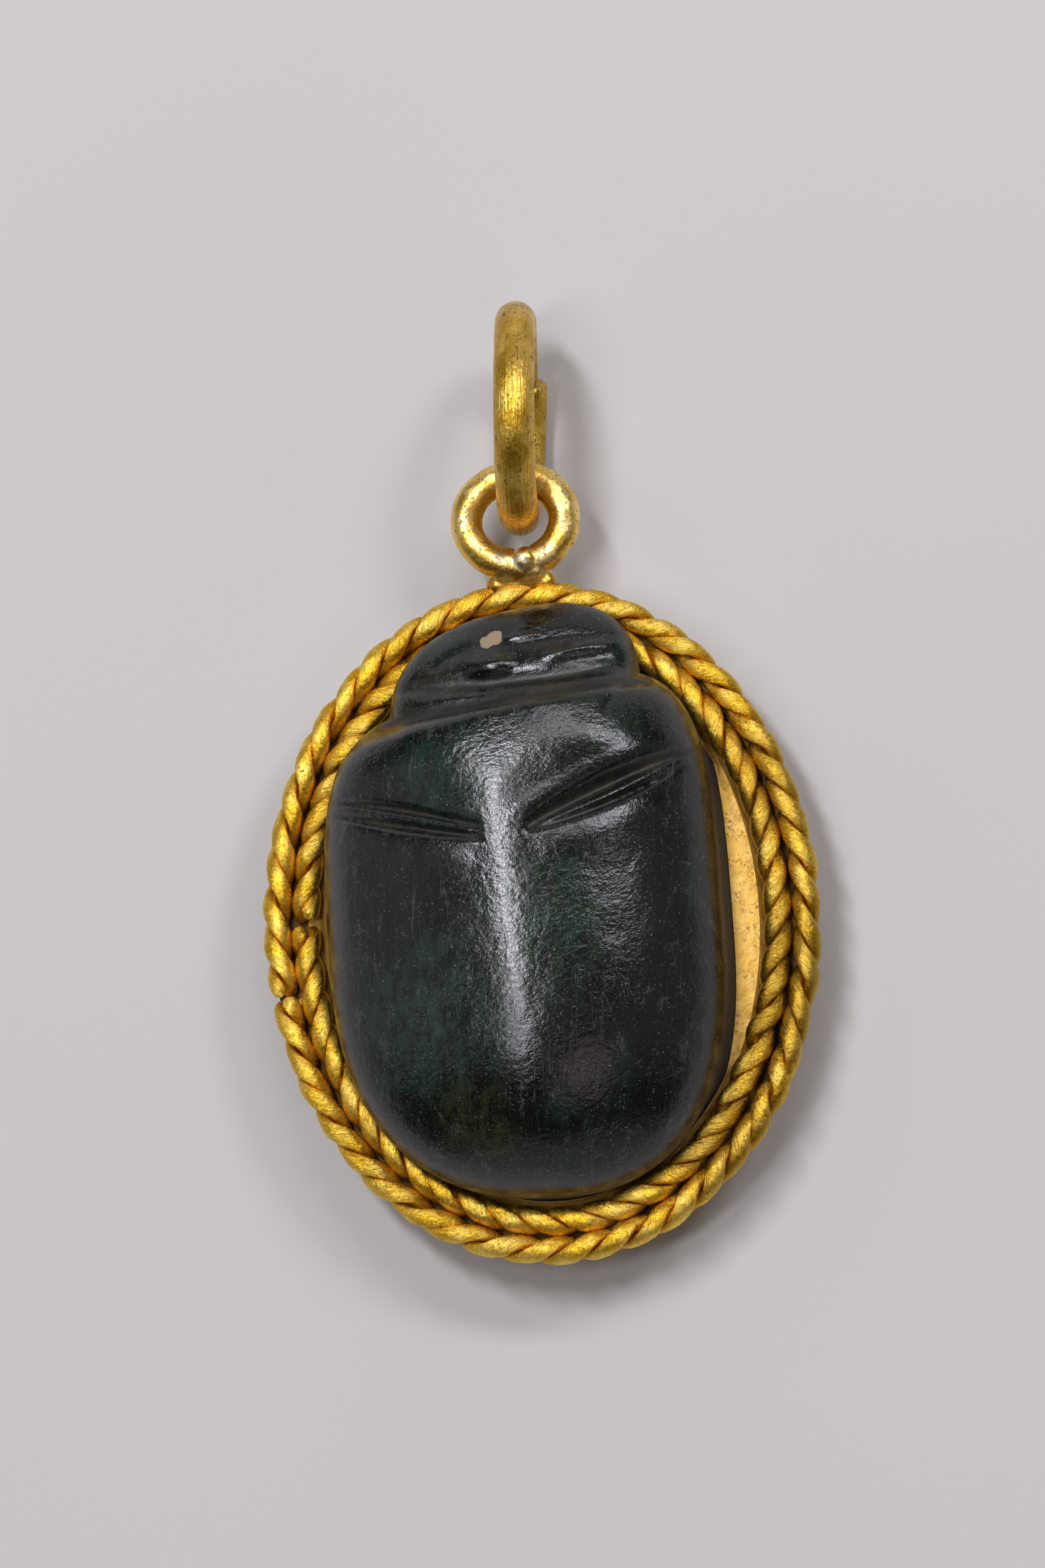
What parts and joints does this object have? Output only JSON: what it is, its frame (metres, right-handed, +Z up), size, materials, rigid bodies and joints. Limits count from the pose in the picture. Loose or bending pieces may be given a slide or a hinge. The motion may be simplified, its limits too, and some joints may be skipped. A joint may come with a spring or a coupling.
{
  "type": "scarab seal in a gold pendant mount",
  "caption": "Oval stone scarab seal in a gold setting with a double rope border, a small suspension loop and an open jump ring.",
  "frame": {"origin": "centre of the oval mount, on the flat seal face that the pendant lies on", "axes": "+Z up out of the beetle's back, +Y from its tail to the suspension loop, +X to its right seen from above"},
  "size_m": [0.0168, 0.029, 0.0076],
  "materials": {
    "dark_stone": "polished near-black green stone, fine grain, light specks and lengthwise scratches",
    "sheet_gold": "satin pale yellow sheet gold, finely pitted",
    "wire_gold": "polished high-carat gold wire, brown soil in the hollows",
    "loop_gold": "worn pale gold wire with brown specks and a grey solder patch",
    "ring_gold": "duller olive gold wire with a fine drawn grain"
  },
  "bodies": {
    "root": {"scarab": "dark_stone", "bezel": "sheet_gold", "inner_rope_strand_1": "wire_gold", "inner_rope_strand_2": "wire_gold", "outer_rope_strand_1": "wire_gold", "outer_rope_strand_2": "wire_gold", "suspension_loop": "loop_gold", "jump_ring": "ring_gold"}
  },
  "joints": []
}
